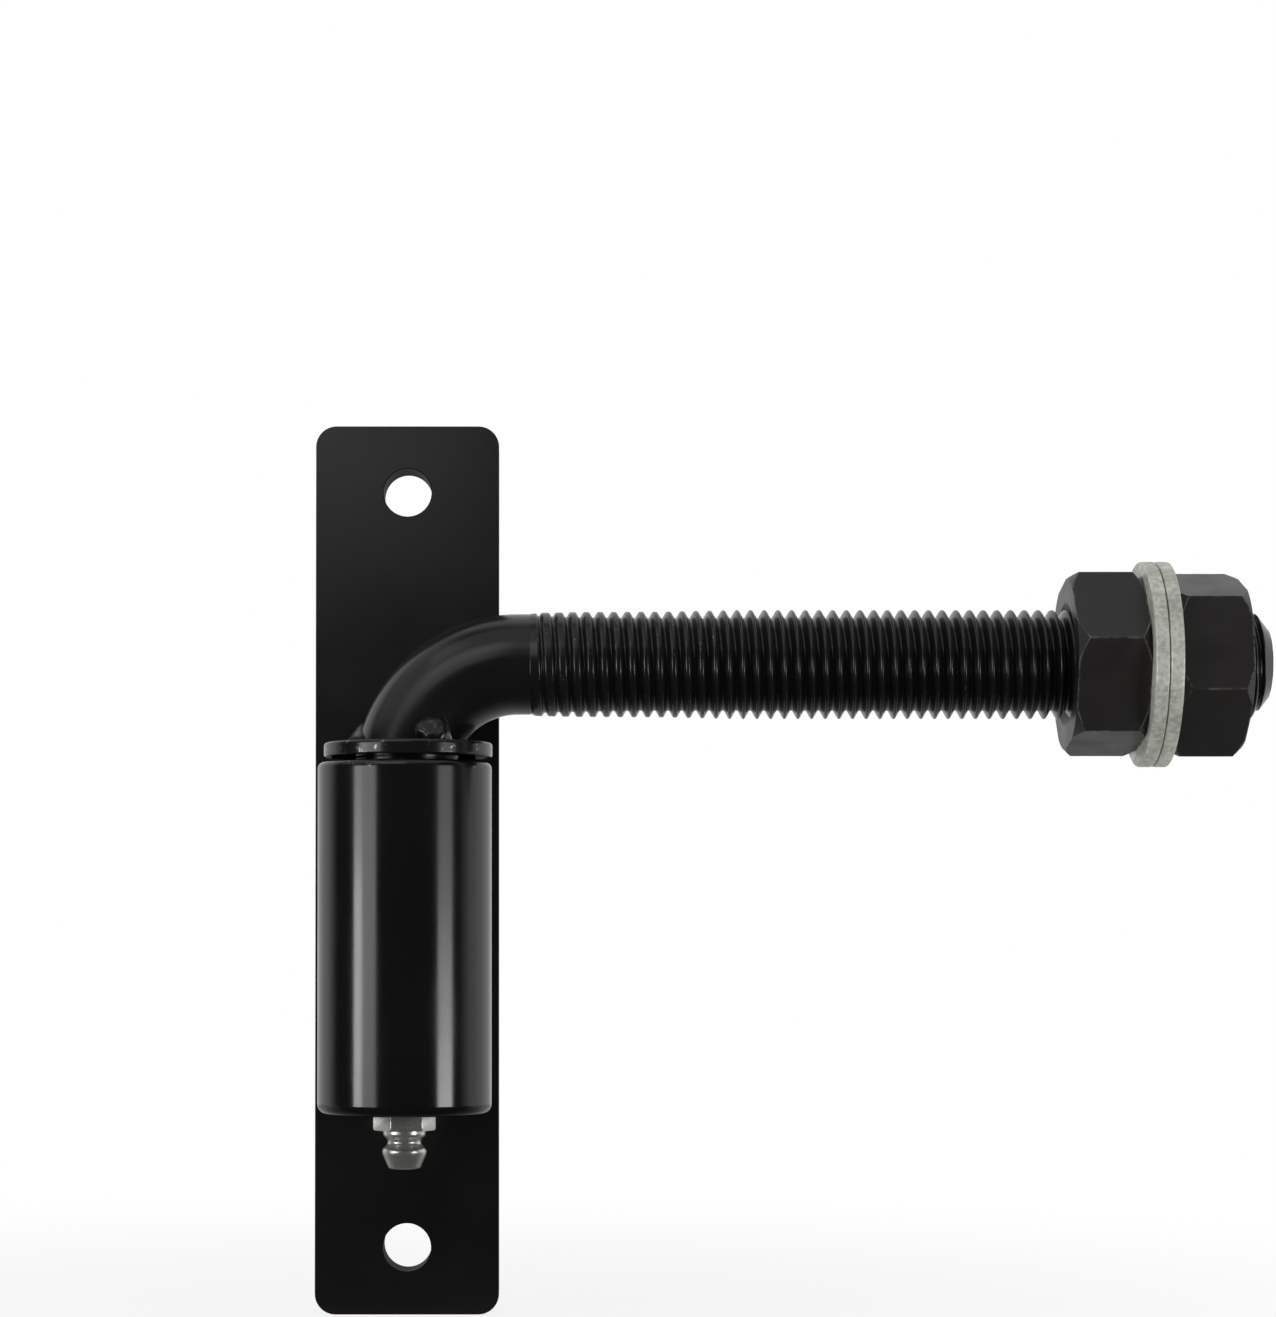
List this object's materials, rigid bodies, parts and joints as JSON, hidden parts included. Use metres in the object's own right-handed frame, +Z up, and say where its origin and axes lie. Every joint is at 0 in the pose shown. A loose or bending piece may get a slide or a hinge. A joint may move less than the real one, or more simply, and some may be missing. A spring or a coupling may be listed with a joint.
{
  "type": "adjustable gate hinge",
  "caption": "Bolt-on gate hinge: a greasable barrel on a flat plate holds a swinging bent rod whose threaded arm clamps a gate frame between nuts and washers.",
  "frame": {"origin": "centre of the plate's back face, midway between its two screw holes", "axes": "+X along the threaded arm at rest, +Y into the post that the plate is fixed to, +Z up, parallel to the hinge axis"},
  "size_m": [0.1397, 0.0357, 0.133],
  "materials": {
    "plate_paint": "satin black paint",
    "barrel_paint": "gloss black paint",
    "weld_paint": "black paint over weld",
    "rod_paint": "black paint",
    "collar_paint": "gloss black paint",
    "nut_oxide": "black oxide",
    "washer_zinc": "zinc plated",
    "fitting_zinc": "bright zinc plated",
    "bearing_steel": "polished",
    "spring_steel": "drawn wire"
  },
  "bodies": {
    "post_side": {"mounting_plate": "plate_paint", "barrel": "barrel_paint", "barrel_weld_left": "weld_paint", "barrel_weld_right": "weld_paint", "grease_fitting_body": "fitting_zinc", "grease_fitting_spring": "spring_steel"},
    "gate_side": {"j_bolt": "rod_paint", "collar_washer": "collar_paint", "collar_weld_outer": "weld_paint", "collar_weld_inner": "weld_paint"},
    "thrust_ball": {"thrust_ball": "bearing_steel"},
    "check_ball": {"grease_fitting_ball": "bearing_steel"},
    "inner_washer": {"inner_washer": "washer_zinc"},
    "inner_nut": {"inner_nut": "nut_oxide"},
    "outer_washer": {"outer_washer": "washer_zinc"},
    "outer_nut": {"outer_nut": "nut_oxide"}
  },
  "joints": [
    {"name": "gate_swing", "type": "hinge", "parent": "post_side", "child": "gate_side", "pos_m": [0, -0.0207, 0], "axis": [0, 0, 1], "range_deg": [-197, 17]},
    {"name": "thrust_ball_roll", "type": "hinge", "parent": "post_side", "child": "thrust_ball", "pos_m": [0, -0.0207, 0], "axis": [0, 0, 1], "range_deg": [-98.5, 8.5]},
    {"name": "check_ball_lift", "type": "slide", "parent": "post_side", "child": "check_ball", "axis": [0, 0, 1], "range_m": [0, 0.0008], "stiffness_N_per_m": 300, "springref_m": -0.001, "deforming": ["grease_fitting_spring"]},
    {"name": "inner_washer_slide", "type": "slide", "parent": "gate_side", "child": "inner_washer", "axis": [1, 0, 0], "range_m": [-0.074, 0]},
    {"name": "inner_nut_turn", "type": "hinge", "parent": "inner_washer", "child": "inner_nut", "pos_m": [0, -0.0207, 0.02965], "axis": [1, 0, 0], "range_deg": [-13320, 0]},
    {"name": "outer_washer_slide", "type": "slide", "parent": "gate_side", "child": "outer_washer", "axis": [1, 0, 0], "range_m": [0, 0.004]},
    {"name": "outer_nut_turn", "type": "hinge", "parent": "outer_washer", "child": "outer_nut", "pos_m": [0, -0.0207, 0.02965], "axis": [1, 0, 0], "range_deg": [0, 720]}
  ],
  "couplings": [
    {"joint": "thrust_ball_roll", "follows": "gate_swing", "ratio": 0.5},
    {"joint": "inner_washer_slide", "follows": "inner_nut_turn", "m_per_rad": 0.00031831},
    {"joint": "outer_washer_slide", "follows": "outer_nut_turn", "m_per_rad": 0.00031831}
  ]
}
